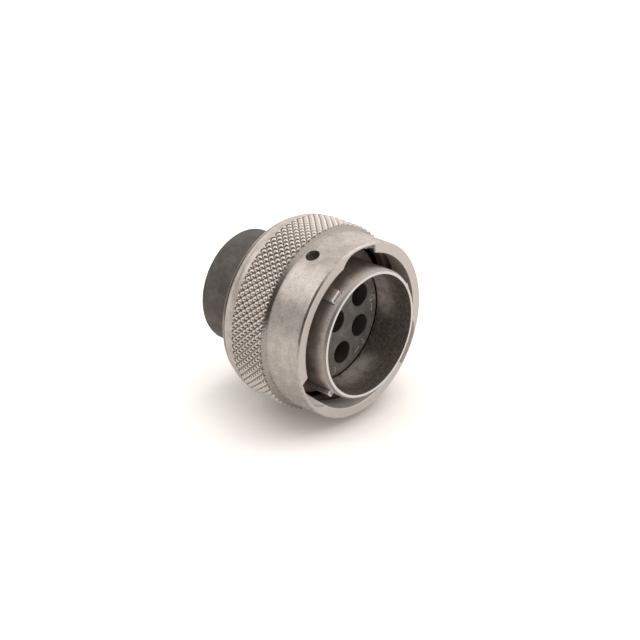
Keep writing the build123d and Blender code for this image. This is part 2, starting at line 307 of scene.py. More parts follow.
def edge_share(tree: Tree, edge_radius: float) -> Link:
    """How near a point is to an edge, from 0 on open faces to 1 on the edge itself.

    Args:
        tree: A material's tree.
        edge_radius: Reach from the edge, in millimetres.

    Returns:
        The share.
    """
    rounded = soft_edge_normal(tree, edge_radius)
    flat = tree.node("ShaderNodeNewGeometry")["Normal"]
    along = tree.node("ShaderNodeVectorMath", {"operation": "DOT_PRODUCT"}, {0: rounded, 1: flat})
    return 1.0 - along["Value"].ease(low=EDGE_COSINE, high=1.0)


@dataclass
class Look:
    """A finish at a point: its colour, how rough it is, how much of a metal, and its fine relief."""

    colour: Link
    roughness: Value
    metallic: Value
    height: Link

    def over(
        self, share: Value, colour: Colour, *, roughness: float, metallic: float = 1.0, strength: float = 1.0,
    ) -> None:
        """Lays another finish over this one.

        Args:
            share: Where the other finish is, from 0 to 1.
            colour: Its colour.
            roughness: Its roughness.
            metallic: How much of a metal it is.
            strength: How well it covers.
        """
        if strength != 1.0:
            share = share * strength
        self.colour = self.colour.tree.blend(share, self.colour, colour)
        self.roughness = self.roughness * (1.0 - share) + share * roughness
        if self.metallic != metallic:
            self.metallic = (1.0 - share) * self.metallic + share * metallic


@dataclass(frozen=True, kw_only=True)
class PartFinish:
    """A finish of the plug, whose material is named for its slot and ends in one shader."""

    slot: str
    piece: str = ""
    edge_radius: float = 0.045
    bump_strength: float = 0.6

    def material(self) -> bpy.types.Material:
        """Builds the material, or finds it if it has been built.

        Returns:
            The material.
        """
        name = f"{self.slot}{self.piece}_finish"
        if name in bpy.data.materials:
            return bpy.data.materials[name]
        material, tree = new_material(name)
        look = self.surface(tree, PartCoordinates(tree))
        bump = tree.node("ShaderNodeBump", inputs={
            "Strength": self.bump_strength, "Distance": MM, "Height": look.height,
            "Normal": soft_edge_normal(tree, self.edge_radius),
        })["Normal"]
        shader = tree.node("ShaderNodeBsdfPrincipled", inputs={
            "Base Color": look.colour, "Metallic": look.metallic, "Roughness": look.roughness, "Normal": bump,
        })
        tree.node("ShaderNodeOutputMaterial", inputs={"Surface": shader[0]})
        return material

    def surface(self, tree: Tree, place: PartCoordinates) -> Look:
        """The look all over a piece; each kind of finish has its own.

        Args:
            tree: The material's tree.
            place: The part's coordinates.

        Returns:
            The look.
        """
        raise NotImplementedError


@dataclass(frozen=True, kw_only=True)
class MetalFinish(PartFinish):
    """Turned and plated metal: lathe lines round the axis, cloudy plating and paler edges, scuffed and with
    painted highlight.
    """

    light: Colour
    dark: Colour
    roughness: float = 0.32
    cloud_scale: float = 0.55
    speckle_scale: float = 5.0
    lathe_lines: float = 9.0
    line_turns: float = 1.4
    tone_parts: tuple[float, float, float] = (0.45, 0.33, 0.22)
    cloud_roughness: float = 0.20
    line_roughness: float = 0.14
    line_depth: float = 0.010
    grain_depth: float = 0.012
    wear_and_glint_reach: float = 0.09
    edge_wear_and_glint: float = 0.35
    worn_polish: float = 0.10
    worn_dulling: float = 0.5
    wear_and_glint_colour: Colour = (0.80, 0.73, 0.68)

    def surface(self, tree: Tree, place: PartCoordinates) -> Look:
        """The plating, what differs from place to place, and the paler edges, scuffed and with painted
        highlight.

        Args:
            tree: The material's tree.
            place: The part's coordinates.

        Returns:
            The look.
        """
        clouds = tree.noise(place.point, self.cloud_scale, detail=5.0, roughness=0.62)
        speckle = tree.noise(place.point, self.speckle_scale, detail=3.0, roughness=0.6)
        turned = tree.xyz(
            place.radius * self.lathe_lines, place.angle * self.line_turns, place.z * self.lathe_lines)
        lines = tree.noise(turned, 1.0, detail=3.0, roughness=0.7)
        cloud_part, speckle_part, line_part = self.tone_parts
        tone = (clouds * cloud_part + speckle * speckle_part + lines * line_part).ease(low=0.34, high=0.66)
        look = Look(
            colour=tree.blend(tone, self.dark, self.light),
            roughness=(clouds - NOISE_MEAN) * self.cloud_roughness
            + (lines - NOISE_MEAN) * self.line_roughness + self.roughness,
            metallic=1.0,
            height=lines * self.line_depth + speckle * self.grain_depth,
        )
        self.by_place(place, clouds, speckle, look)
        # Paler edges from the rounded normal: scuffing, and a painted highlight along each edge.
        wear_and_glint = edge_share(tree, self.wear_and_glint_reach) * self.edge_wear_and_glint
        look.colour = tree.blend(wear_and_glint, look.colour, self.wear_and_glint_colour)
        look.roughness = look.roughness - wear_and_glint * self.worn_polish
        look.metallic = look.metallic - wear_and_glint * self.worn_dulling
        return look

    def by_place(self, place: PartCoordinates, clouds: Link, speckle: Link, look: Look) -> None:
        """Changes the look where the piece has another surface; plain pieces have none.

        Args:
            place: The part's coordinates.
            clouds: Broad noise.
            speckle: Fine noise.
            look: The look so far, which is changed.
        """


@dataclass(frozen=True, kw_only=True)
class RingFinish(MetalFinish):
    """Plated ring: pale faces, dull tracks inside the lip, painted light on its walls and bore, and painted
    shade deep inside, on the knurl's step and in its grooves.
    """

    front_z: float = 27.3
    lip_radius: float = 13.5
    lip_line: float = 0.10
    lip_line_depth: float = 0.14
    notch_margin: float = 0.04
    notch_depth: float = 4.2
    highlight_depth: float = 4.6
    highlight_angle: float = 232.0
    track_radius: float = 14.93
    track_cover: float = 0.95
    track_specks: float = 0.5
    relief_z: float = 21.5
    bore_front_z: float = 19.5
    spring_z: float = 16.0
    tail_skin_z: float = 10.10
    knurl_front_z: float = 20.18
    knurl_rear_z: float = 13.20
    step_length: float = 0.6
    step_radius: float = 15.42
    groove_radius: float = 15.92
    groove_depth: float = 0.43
    groove_shade_share: float = 0.58
    groove_clouds: float = 0.5
    face: Colour = (0.79, 0.72, 0.672)
    step: Colour = (0.45, 0.405, 0.37)
    tip: Colour = (0.82, 0.74, 0.684)
    groove_shade_tone: Colour = (0.11, 0.097, 0.085)
    painted_light: Colour = (0.93, 0.87, 0.82)
    track: Colour = (0.60, 0.54, 0.495)
    relief: Colour = (0.34, 0.302, 0.27)

    def by_place(self, place: PartCoordinates, clouds: Link, speckle: Link, look: Look) -> None:
        """Adds the tracks inside the lip, painted light on its walls and bore, painted shade deep inside it,
        the faces, and painted shade on the knurl's step and in its grooves.

        Args:
            place: The part's coordinates.
            clouds: Broad noise.
            speckle: Fine noise.
            look: The look so far, which is changed.
        """
        inside = 1.0 - place.beyond(self.track_radius, blend=0.05)
        tracks = inside * (self.track_cover - speckle * self.track_specks)
        look.over(tracks, self.track, roughness=0.50, metallic=0.25)
        # Painted shade deep inside the lip, behind the tracks.
        look.over(inside * (1.0 - place.above(self.relief_z, blend=1.8)), self.relief, roughness=0.6)
        # Painted light on the deep bore, which lies in shade.
        bore = place.above(self.spring_z, blend=0.2) * (1.0 - place.above(self.bore_front_z, blend=0.8))
        look.over(inside * bore, self.painted_light, roughness=0.6, metallic=0.1)
        # Painted highlight on the walls inside the lip, towards the lower left.
        pale_sheen = (place.towards(self.highlight_angle) / place.radius).ease(low=0.30, high=0.85)
        near_front = place.above(self.front_z - self.highlight_depth, blend=3.0)
        look.over(inside * pale_sheen * near_front, self.painted_light, roughness=0.5, metallic=0.1)
        # Painted light on the notches' walls.
        notch = inside * place.beyond(self.lip_radius + self.notch_margin, blend=0.08)
        notch_walls = notch * place.above(self.front_z - self.notch_depth, blend=1.6)
        look.over(notch_walls, self.painted_light, roughness=0.55, metallic=0.1)
        look.over(1.0 - place.above(self.tail_skin_z, blend=0.04), self.face, roughness=0.5, metallic=0.6)
        look.over(place.above(self.front_z - SKIN, blend=0.02), self.face, roughness=0.42, metallic=0.85)
        # Painted highlight along the lip's inner front edge.
        lip_edge = 1.0 - place.beyond(self.lip_radius + self.lip_line, blend=0.06)
        lip_front = place.above(self.front_z - self.lip_line_depth, blend=0.06)
        look.over(lip_edge * lip_front, self.painted_light, roughness=0.40, metallic=0.2)
        # Painted shade on the sloping step in front of the knurl.
        past_grip = place.above(self.knurl_front_z - self.step_length, blend=0.1)
        behind_band = 1.0 - place.above(self.knurl_front_z - SKIN, blend=SKIN)
        raised = place.beyond(self.step_radius, blend=0.03)
        look.over(past_grip * behind_band * raised, self.step, roughness=0.14, strength=0.9)
        grip = place.above(self.knurl_rear_z, blend=0.1) * (1.0 - past_grip)
        look.over(grip, self.tip, roughness=0.17)
        # Painted shade in the knurl's grooves.
        rise = (place.radius - self.groove_radius) / self.groove_depth
        low = 1.0 - rise.ease(low=-0.10, high=0.50)
        crease_shade = clouds * self.groove_clouds + self.groove_shade_share
        look.over(grip * low * crease_shade, self.groove_shade_tone, roughness=0.30)


@dataclass(frozen=True, kw_only=True)
class ShellFinish(MetalFinish):
    """Plated shell: a streaked barrel and a dull blasted bore, with painted highlight on the rim and keys,
    painted sheen and shade on the barrel, and patches of painted light in the bore.
    """

    rim_z: float = 29.38
    rim_chamfer: float = 0.52
    rim_line: float = 0.04
    insert_z: float = 21.88
    wall_radius: float = 10.80
    barrel_radius: float = 11.20
    rim_sheen_depth: float = 2.7
    rim_sheen: float = 0.45
    streak_wear: float = 0.50
    streak_turns: float = 34.0
    streak_rise: float = 0.8
    streak_gaps: float = 0.5
    shade_z: float = 22.48
    key_front_z: float = 28.30
    key_top_depth: float = 0.26
    key_foot: float = 0.06
    key_line: float = 0.06
    key_widths: tuple[tuple[float, float], ...] = (
        (90.0, 2.15), (185.0, 1.10), (-15.0, 1.10), (-50.0, 1.10), (-125.0, 1.10),
    )
    patch_angles: tuple[float, ...] = (338.0, 246.0)
    patch_z: float = 23.48
    bore_specks: float = 0.5
    blast_scale: float = 1.7
    fleck_scale: float = 5.0
    rim: Colour = (0.40, 0.362, 0.33)
    edge: Colour = (0.97, 0.92, 0.87)
    bore: Colour = (0.50, 0.45, 0.408)
    dull: Colour = (0.20, 0.178, 0.158)
    pale_sheen: Colour = (0.88, 0.80, 0.74)
    crease_shade: Colour = (0.02, 0.018, 0.016)
    shade: Colour = (0.36, 0.32, 0.288)

    def by_place(self, place: PartCoordinates, clouds: Link, speckle: Link, look: Look) -> None:
        """Adds the barrel's streaks, the keys, the bore, the rim and the painted shade round the insert.

        Args:
            place: The part's coordinates.
            clouds: Broad noise.
            speckle: Fine noise.
            look: The look so far, which is changed.
        """
        outside = place.beyond(self.wall_radius, blend=0.1)
        self._dress_barrel(place, outside, look)
        self._dress_bore(place, 1.0 - outside, clouds, speckle, look)
        # Painted shade on the rim's chamfer.
        chamfer = place.above(self.rim_z - self.rim_chamfer, blend=0.08)
        look.over(chamfer, self.rim, roughness=0.50, metallic=0.9, strength=0.85)
        # Painted highlight along the rim's front edge.
        rim_face = place.above(self.rim_z - self.rim_line, blend=0.03)
        look.over(rim_face, self.edge, roughness=0.35, metallic=0.3)
        # Painted shade in the gap round the insert.
        by_insert = 1.0 - place.above(self.insert_z - 0.02, blend=0.08)
        look.over((1.0 - outside) * by_insert, self.crease_shade, roughness=0.8)

    def _dress_barrel(self, place: PartCoordinates, outside: Link, look: Look) -> None:
        """Adds painted sheen near the rim, painted shade in the gap behind it and in the keys' corners, and
        painted highlight and shade on the keys' front edges and faces.

        Args:
            place: The part's coordinates.
            outside: The barrel's share.
            look: The look so far, which is changed.
        """
        tree = outside.tree
        spread = tree.xyz(place.angle * self.streak_turns, place.z * self.streak_rise, 0.0)
        streaks = tree.noise(spread, 1.0, detail=3.0, roughness=0.7).ease(low=0.38, high=0.62)
        look.over(outside, self.pale_sheen, roughness=0.45, metallic=0.7, strength=0.30)
        # The streaks are the barrel's own; the paler band near the rim is painted sheen.
        near_rim = place.above(self.rim_z - self.rim_sheen_depth, blend=2.2)
        near_rim_sheen = near_rim * (streaks * self.streak_wear + self.rim_sheen)
        look.over(outside * near_rim_sheen, self.pale_sheen, roughness=0.50, metallic=0.3)
        # Painted shade deep in the gap behind the rim, broken up by the streaks.
        deep = (1.0 - place.above(self.shade_z, blend=3.5)) * (1.0 - streaks * self.streak_gaps)
        look.over(outside * deep, self.shade, roughness=0.45, metallic=0.5)
        # Painted shade in the corners beside the keys.
        look.over(self._key_corner_share(place), self.crease_shade, roughness=0.6, metallic=0.5, strength=0.8)
        # Painted highlight on the keys' front edges, and painted shade on their front faces.
        key = place.beyond(self.barrel_radius + self.key_foot, blend=0.06)
        key_front = place.above(self.key_front_z - self.key_top_depth, blend=0.06)
        look.over(key * key_front, self.edge, roughness=0.40, metallic=0.2)
        key_face = place.above(self.key_front_z - SKIN, blend=0.02)
        look.over(key * key_face, self.rim, roughness=0.50, metallic=0.6)

    def _dress_bore(
        self, place: PartCoordinates, inside: Link, clouds: Link, speckle: Link, look: Look,
    ) -> None:
        """Adds the blasted bore, patches of painted light near the insert, and pale flecks.

        Args:
            place: The part's coordinates.
            inside: The bore's share.
            clouds: Broad noise.
            speckle: Fine noise.
            look: The look so far, which is changed.
        """
        tree = inside.tree
        specks = speckle.ease(low=0.52, high=0.75) * self.bore_specks
        look.over(inside * (1.0 - specks), self.bore, roughness=0.46)
        blasted = tree.noise(place.point, self.blast_scale, detail=6.0, roughness=0.75)
        look.over(inside * blasted.ease(low=0.42, high=0.58), self.dull, roughness=0.60, strength=0.6)
        # Patches of painted light near the insert.
        patches: Value = 0.0
        for degrees in self.patch_angles:
            patches = (place.towards(degrees) / place.radius).ease(low=0.84, high=0.99) + patches
        pale_sheen = patches * (1.0 - place.above(self.patch_z, blend=3.9))
        look.over(inside * pale_sheen * clouds.ease(low=0.2, high=0.6), self.pale_sheen, roughness=0.55, metallic=0.5)
        flecks = tree.noise(place.point, self.fleck_scale, detail=1.0).ease(low=0.67, high=0.72)
        look.over(inside * flecks, self.pale_sheen, roughness=0.4, metallic=0.4, strength=0.75)

    def _key_corner_share(self, place: PartCoordinates) -> Link:
        """Where shade is painted in the corners beside the barrel's keys.

        Args:
            place: The part's coordinates.

        Returns:
            The share, from 0 to 1.
        """
        share: Value = 0.0
        for degrees, width in self.key_widths:
            aside = place.towards(degrees + 90.0).math("ABSOLUTE")
            from_line = (aside - (width / 2 + self.key_line)).math("ABSOLUTE")
            line = 1.0 - from_line.ease(low=0.05, high=0.20)
            share = line * place.towards(degrees).ease(low=0.0, high=1.0) + share
        on_barrel = place.beyond(self.barrel_radius - 0.08, blend=0.04)
        below_top = 1.0 - place.beyond(self.barrel_radius + 0.10, blend=0.20)
        behind_front = 1.0 - place.above(self.key_front_z, blend=0.1)
        return share * on_barrel * below_top * behind_front


@dataclass(frozen=True, kw_only=True)
class MouldedFinish(PartFinish):
    """Moulded plastic or rubber: an even body colour, faint clouds, fine speckle and a matt grain."""

    body: Colour
    dust: Colour
    roughness: float = 0.6
    cloud_scale: float = 0.7
    cloud_share: float = 0.5
    cloud_roughness: float = 0.2
    speckle_scale: float = 7.0
    speckle_share: float = 0.35
    grain_depth: float = 0.020
    edge_radius: float = 0.08
    bump_strength: float = 0.5

    def surface(self, tree: Tree, place: PartCoordinates) -> Look:
        """The moulded surface and what differs from place to place.

        Args:
            tree: The material's tree.
            place: The part's coordinates.

        Returns:
            The look.
        """
        clouds = tree.noise(place.point, self.cloud_scale, detail=4.0, roughness=0.6)
        speckle = tree.noise(place.point, self.speckle_scale, detail=2.0, roughness=0.5)
        dusty = clouds.ease(low=0.35, high=0.75) * self.cloud_share
        dusty = dusty + speckle.ease(low=0.55, high=0.75) * self.speckle_share
        look = Look(
            colour=tree.blend(dusty, self.body, self.dust),
            roughness=(clouds - NOISE_MEAN) * self.cloud_roughness + self.roughness,
            metallic=0.0,
            height=speckle * self.grain_depth,
        )
        self.by_place(place, look)
        return look

    def by_place(self, place: PartCoordinates, look: Look) -> None:
        """Changes the look where the piece has another surface; plain pieces have none.

        Args:
            place: The part's coordinates.
            look: The look so far, which is changed.
        """


@dataclass(frozen=True, kw_only=True)
class WaferFinish(MouldedFinish):
    """Hard wafer of the insert, with painted shadow inside its cavities and round its edge."""

    face_z: float = 21.88
    mouth_depth: float = 0.22
    border_radius: float = 9.98
    shadow: Colour = (0.060, 0.055, 0.044)

    def by_place(self, place: PartCoordinates, look: Look) -> None:
        """Adds the painted shadow on the cavities' walls and round the edge.

        Args:
            place: The part's coordinates.
            look: The look so far, which is changed.
        """
        # Painted shadow in the cavities and in the gap round the wafer's edge.
        below = 1.0 - place.above(self.face_z - self.mouth_depth, blend=0.18)
        border = place.beyond(self.border_radius, blend=0.08)
        look.over(below.math("MAXIMUM", border), self.shadow, roughness=0.8, metallic=0.0)


RING_NICKEL = RingFinish(
    slot="ring_nickel", light=(0.78, 0.70, 0.645), dark=(0.50, 0.447, 0.406), roughness=0.28,
    speckle_scale=3.2, grain_depth=0.02, edge_wear_and_glint=0.25,
)
SHELL_NICKEL = ShellFinish(
    slot="shell_nickel", light=(0.70, 0.63, 0.58), dark=(0.44, 0.39, 0.355), roughness=0.24,
    speckle_scale=3.2, line_depth=0.016, wear_and_glint_reach=0.22, edge_wear_and_glint=0.95, wear_and_glint_colour=(0.97, 0.92, 0.87),
)
SPRING_STEEL = MetalFinish(
    slot="spring_steel", light=(0.60, 0.59, 0.57), dark=(0.44, 0.43, 0.41), roughness=0.28,
)
HOOD_STEEL = MetalFinish(slot="hood_steel", light=(0.66, 0.65, 0.63), dark=(0.50, 0.49, 0.47), roughness=0.25)
CONTACT_GOLD = MetalFinish(
    slot="contact_gold", light=(0.90, 0.70, 0.32), dark=(0.74, 0.55, 0.22), roughness=0.24,
)
INSERT_HARD = WaferFinish(
    slot="insert_hard", body=(0.16, 0.145, 0.13), dust=(0.34, 0.31, 0.28), roughness=0.5,
    speckle_scale=3.5, speckle_share=0.6,
)
INSERT_MARKS = MouldedFinish(
    slot="insert_hard", piece="_marks", body=(0.50, 0.46, 0.42), dust=(0.64, 0.59, 0.54), roughness=0.4,
)
INSERT_SOFT = MouldedFinish(
    slot="insert_soft", body=(0.075, 0.07, 0.065), dust=(0.12, 0.11, 0.10), roughness=0.7,
)
BOOT_RUBBER = MouldedFinish(
    slot="boot_rubber", body=(0.082, 0.070, 0.060), dust=(0.225, 0.197, 0.172), roughness=0.58,
    cloud_scale=0.35, speckle_share=0.45,
)


def dress(node: str, finish: PartFinish) -> None:
    """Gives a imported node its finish.

    Args:
        node: The node's name.
        finish: Its finish.
    """
    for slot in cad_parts[node].material_slots:
        slot.material = finish.material()
    log.info("%s dressed in %s", node, finish.slot)


def add_object(name: str, data: bpy.types.ID) -> bpy.types.Object:
    """Puts an object with the given data into the scene, at the origin.

    Args:
        name: The object's name.
        data: Its mesh, curve, light or camera.

    Returns:
        The object.
    """
    made = bpy.data.objects.new(name, data)
    bpy.context.scene.collection.objects.link(made)
    return made


def finish_piece(piece: bpy.types.Object, body: str) -> bpy.types.Object:
    """Puts a finished piece on its body.

    Args:
        piece: The piece, with its place in its mesh.
        body: The body that it rides on.

    Returns:
        The piece.
    """
    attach(piece, body)
    log.info("%s rides on %s, %d faces", piece.name, body, len(piece.data.polygons))
    return piece


class GeometryTree(Tree):
    """A Geometry Nodes tree with named inputs, whose result becomes a plain mesh."""

    def __init__(self, name: str) -> None:
        """Starts a tree with a geometry output.

        Args:
            name: The tree's name.
        """
        super().__init__(bpy.data.node_groups.new(name, "GeometryNodeTree"))
        self.entry = self.node("NodeGroupInput").placed
        self.nodes.interface.new_socket("Geometry", in_out="OUTPUT", socket_type="NodeSocketGeometry")
        self.identifiers: dict[str, str] = {}

    def size(self, name: str, kind: str = "NodeSocketFloat") -> Link:
        """Adds a named input.

        Args:
            name: The input's name.
            kind: The socket's type.

        Returns:
            The input inside the tree.
        """
        made = self.nodes.interface.new_socket(name, in_out="INPUT", socket_type=kind)
        self.identifiers[name] = made.identifier
        return Link(self, self.entry.outputs[name])

    def position(self) -> Step:
        """The position of each point, as its x, y and z."""
        return self.node("ShaderNodeSeparateXYZ", inputs={0: self.node("GeometryNodeInputPosition")[0]})

    def move(self, geometry: Link, position: Link, selection: Union[Link, bool] = True) -> Link:
        """Puts the points of a geometry somewhere else.

        Args:
            geometry: The geometry.
            position: Where each point goes.
            selection: Which points go.

        Returns:
            The moved geometry.
        """
        values = {"Geometry": geometry, "Selection": selection, "Position": position}
        return self.node("GeometryNodeSetPosition", inputs=values)[0]

    def merge(self, geometry: Link) -> Link:
        """Joins points that lie on each other."""
        values = {"Geometry": geometry, "Distance": MERGE}
        return self.node("GeometryNodeMergeByDistance", inputs=values)[0]

    def bake(self, name: str, result: Link, sizes: dict[str, Any]) -> bpy.types.Object:
        """Runs the tree and keeps its result as a plain mesh.

        Args:
            name: The new piece's name.
            result: The geometry that the tree puts out.
            sizes: Values of the named inputs.

        Returns:
            The piece, at the origin.
        """
        self.node("NodeGroupOutput", inputs={0: result})
        piece = add_object(name, bpy.data.meshes.new(name))
        modifier = piece.modifiers.new("shape", "NODES")
        modifier.node_group = self.nodes
        for size_name, value in sizes.items():
            modifier[self.identifiers[size_name]] = value
        evaluated = piece.evaluated_get(bpy.context.evaluated_depsgraph_get())
        mesh = bpy.data.meshes.new_from_object(evaluated)
        piece.modifiers.clear()
        piece.data = mesh
        mesh.name = name
        return piece


@dataclass
class CouplingRing:
    """Knurled bayonet ring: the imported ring, with softened diamonds laid over its knurl."""

    body: str = "coupling"
    columns: int = 76
    rows: int = 10
    rear_z: float = 13.20
    front_z: float = 20.18
    tip_radius: float = 16.34
    groove_depth: float = 0.43
    band_radius: float = 15.40
    shoulder_radius: float = 16.14
    step_length: float = 0.57
    cover: float = 0.012
    core_depth: float = 0.55
    diamond_cuts: int = 7
    crown: float = 0.75
    groove_rise: float = 0.015
    smooth_below: float = 28.0

    def dress(self) -> None:
        """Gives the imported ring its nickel."""
        dress("coupling_ring", RING_NICKEL)

    def build_knurl(self) -> bpy.types.Object:
        """Lays the diamonds over the ring's grip.

        Returns:
            The knurl, as one closed band.
        """
        tree = GeometryTree("knurl_diamonds")
        columns = tree.size("Columns", "NodeSocketInt")
        rows = tree.size("Rows", "NodeSocketInt")
        rear = tree.size("Rear")
        front = tree.size("Front")
        root = tree.size("Groove radius")
        depth = tree.size("Diamond height")
        band = tree.size("Band radius")
        shoulder = tree.size("Shoulder radius")
        step = tree.size("Step length")
        core = tree.size("Core radius")
        metal = tree.size("Finish", "NodeSocketMaterial")

        # One diamond is a square grid from -1 to 1, whose corners become the diamond's
        grid = tree.node("GeometryNodeMeshGrid", inputs={
            0: 2.0, 1: 2.0, 2: self.diamond_cuts, 3: self.diamond_cuts,
        })["Mesh"]
        row_height = (front - rear) / rows
        half_turn = math.pi / columns
        spots = tree.node("GeometryNodePoints", inputs={"Count": columns * (rows + 1.0)})[0]
        number = tree.node("GeometryNodeInputIndex")[0]
        row = (number / columns).math("FLOOR")
        column = number % columns
        # A spot carries its angle and height, and each diamond is bent round the ring after it is placed
        spot_angle = (column * 2.0 + 1.0 + row % 2.0) * half_turn
        spot_height = rear + row * row_height
        placed = tree.move(spots, tree.xyz(spot_angle, spot_height, 0.0))
        instances = tree.node("GeometryNodeInstanceOnPoints", inputs={
            "Points": placed, "Instance": self._diamond(tree, grid, half_turn, row_height),
        })[0]
        flat = tree.node("GeometryNodeRealizeInstances", inputs={0: instances})[0]
        skin = self._bend(tree, flat, rear, front, root, depth, band, shoulder, step)
        closed = self._close(tree, skin, core)
        shaded = self._shade(tree, closed)
        result = tree.node("GeometryNodeSetMaterial", inputs={0: shaded, "Material": metal})[0]
        knurl = tree.bake("knurl_diamonds", result, {
            "Columns": self.columns,
            "Rows": self.rows,
            "Rear": self.rear_z * MM,
            "Front": self.front_z * MM,
            "Groove radius": (self.tip_radius - self.groove_depth + self.cover) * MM,
            "Diamond height": self.groove_depth * MM,
            "Band radius": (self.band_radius + self.cover) * MM,
            "Shoulder radius": (self.shoulder_radius + self.cover) * MM,
            "Step length": self.step_length * MM,
            "Core radius": (self.band_radius - self.core_depth) * MM,
            "Finish": RING_NICKEL.material(),
        })
        return finish_piece(knurl, self.body)

    def _diamond(self, tree: GeometryTree, grid: Link, half_turn: Link, row_height: Link) -> Link:
        """Shapes one diamond, with its angle along x, its height along y and its rise along z.

        Args:
            tree: The knurl's tree.
            grid: A square grid from -1 to 1.
            half_turn: Half of a diamond's width, as an angle.
            row_height: Half of a diamond's height.

        Returns:
            The diamond, whose rise goes from 0 in the grooves to 1 at the tip.
        """
        at = tree.position()
        across = (at[0] - at[1]) * half_turn * 0.5
        along = (at[0] + at[1]) * row_height * 0.5
        fall = (1.0 - at[0] * at[0]) * (1.0 - at[1] * at[1])
        rise = fall.math("MAXIMUM", 0.0) ** self.crown * (1 - self.groove_rise) + self.groove_rise
        return tree.move(grid, tree.xyz(across, along, rise))

    @staticmethod
    def _bend(
        tree: GeometryTree, flat: Link, rear: Link, front: Link, root: Link, depth: Link,
        band: Link, shoulder: Link, step: Link,
    ) -> Link:
        """Bends the flat pattern round the ring and trims it by the step and the shoulder's bevel.

        Args:
            tree: The knurl's tree.
            flat: The placed diamonds, still flat.
            rear: Height of the knurl's rear end.
            front: Height of its front end.
            root: Radius of the grooves.
            depth: Rise of a tip above the grooves.
            band: Radius of the smooth band in front.
            shoulder: Radius of the shoulder behind.
            step: Length of the sloping step in front.

        Returns:
            The skin of the knurl.
        """
        at = tree.position()
        height = at[1].math("MAXIMUM", rear).math("MINIMUM", front)
        slope = (root + depth - band) / step
        front_limit = band + (front - height) * slope
        rear_limit = shoulder + height - rear
        radius = (root + at[2] * depth).math("MINIMUM", front_limit).math("MINIMUM", rear_limit)
        bent = tree.xyz(radius * at[0].math("COSINE"), radius * at[0].math("SINE"), height)
        return tree.merge(tree.move(flat, bent))

    @staticmethod
    def _close(tree: GeometryTree, skin: Link, core: Link) -> Link:
        """Closes the skin with end walls and an inner wall.

        Args:
            tree: The knurl's tree.
            skin: The skin of the knurl.
            core: Radius of the inner wall.

        Returns:
            A closed band.
        """
        at = tree.position()
        angle = at[1].math("ARCTAN2", at[0])
        inner_place = tree.xyz(core * angle.math("COSINE"), core * angle.math("SINE"), at[2])
        border = tree.node("GeometryNodeInputMeshEdgeNeighbors")[0].math("COMPARE", 1.0, 0.1)
        walls = tree.node("GeometryNodeExtrudeMesh", {"mode": "EDGES"}, {
            "Mesh": skin, "Selection": border, "Offset Scale": 0.0,
        })
        outer = tree.move(walls["Mesh"], inner_place, walls["Top"])
        inner = tree.node("GeometryNodeFlipFaces", inputs={"Mesh": tree.move(skin, inner_place)})[0]
        return tree.merge(tree.node("GeometryNodeJoinGeometry", inputs={0: [outer, inner]})[0])

    def _shade(self, tree: GeometryTree, band: Link) -> Link:
        """Smooths the diamonds' faces and keeps the grooves sharp.

        Args:
            tree: The knurl's tree.
            band: The closed band.

        Returns:
            The shaded band.
        """
        bend = tree.node("GeometryNodeInputMeshEdgeAngle")[0]
        limit = math.radians(self.smooth_below)
        gentle = tree.node("FunctionNodeCompare", {"operation": "LESS_THAN"}, {0: bend, 1: limit})
        smooth = tree.node("GeometryNodeSetShadeSmooth", {"domain": "FACE"}, {0: band})[0]
        return tree.node("GeometryNodeSetShadeSmooth", {"domain": "EDGE"}, {
            0: smooth, "Shade Smooth": gentle[0],
        })[0]


@dataclass
class Shell:
    """Barrel, keys and flange."""

    def dress(self) -> None:
        """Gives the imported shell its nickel."""
        dress("shell", SHELL_NICKEL)


